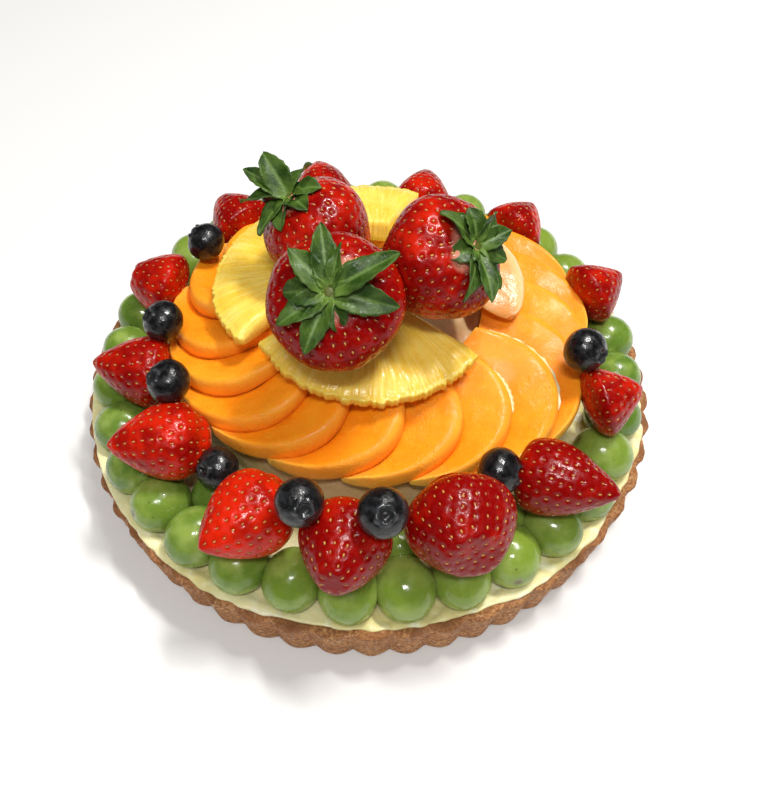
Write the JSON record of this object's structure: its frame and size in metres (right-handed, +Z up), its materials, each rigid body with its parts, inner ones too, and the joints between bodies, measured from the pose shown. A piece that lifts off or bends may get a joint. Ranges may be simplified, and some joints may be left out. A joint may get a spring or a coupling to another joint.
{
  "type": "strawberry fruit tart",
  "caption": "Round fluted shortcrust tart filled with custard and heaped with strawberries, green grapes, blueberries, peach slices and pineapple.",
  "frame": {"origin": "centre of the flat underside of the crust", "axes": "+Z up through the middle of the tart, +Y away from the pictured side"},
  "size_m": [0.23, 0.23, 0.1249],
  "materials": {
    "crust": "baked, crumbly",
    "custard": "soft cream",
    "grape": "glazed skin",
    "strawberry": "glazed",
    "blueberry": "glazed skin",
    "peach": "wet and smooth",
    "pineapple": "wet fibre",
    "pale_peach": "wet, smooth",
    "leaf": "satin leaf"
  },
  "bodies": {
    "root": {"crust": "crust", "custard": "custard", "grapes": "grape", "strawberry_01": "strawberry", "strawberry_02": "strawberry", "strawberry_03": "strawberry", "strawberry_04": "strawberry", "strawberry_05": "strawberry", "strawberry_06": "strawberry", "strawberry_07": "strawberry", "strawberry_08": "strawberry", "strawberry_09": "strawberry", "strawberry_10": "strawberry", "strawberry_11": "strawberry", "strawberry_12": "strawberry", "strawberry_13": "strawberry", "blueberry_01": "blueberry", "blueberry_02": "blueberry", "blueberry_03": "blueberry", "blueberry_04": "blueberry", "blueberry_05": "blueberry", "blueberry_06": "blueberry", "blueberry_07": "blueberry", "blueberry_08": "blueberry", "blueberry_09": "blueberry", "peach_01": "peach", "peach_02": "peach", "peach_03": "peach", "peach_04": "peach", "peach_05": "peach", "peach_06": "peach", "peach_07": "peach", "peach_08": "peach", "peach_09": "peach", "peach_10": "peach", "peach_11": "peach", "peach_12": "peach", "peach_13": "peach", "peach_14": "peach", "peach_15": "peach", "peach_16": "peach", "peach_17": "peach", "peach_18": "peach", "pineapple_1": "pineapple", "pineapple_2": "pineapple", "pineapple_3": "pineapple", "pale_peach": "pale_peach", "top_strawberry_1": "strawberry", "top_strawberry_2": "strawberry", "top_strawberry_3": "strawberry", "leaf_crown_1": "leaf", "leaf_crown_2": "leaf", "leaf_crown_3": "leaf"}
  },
  "joints": []
}
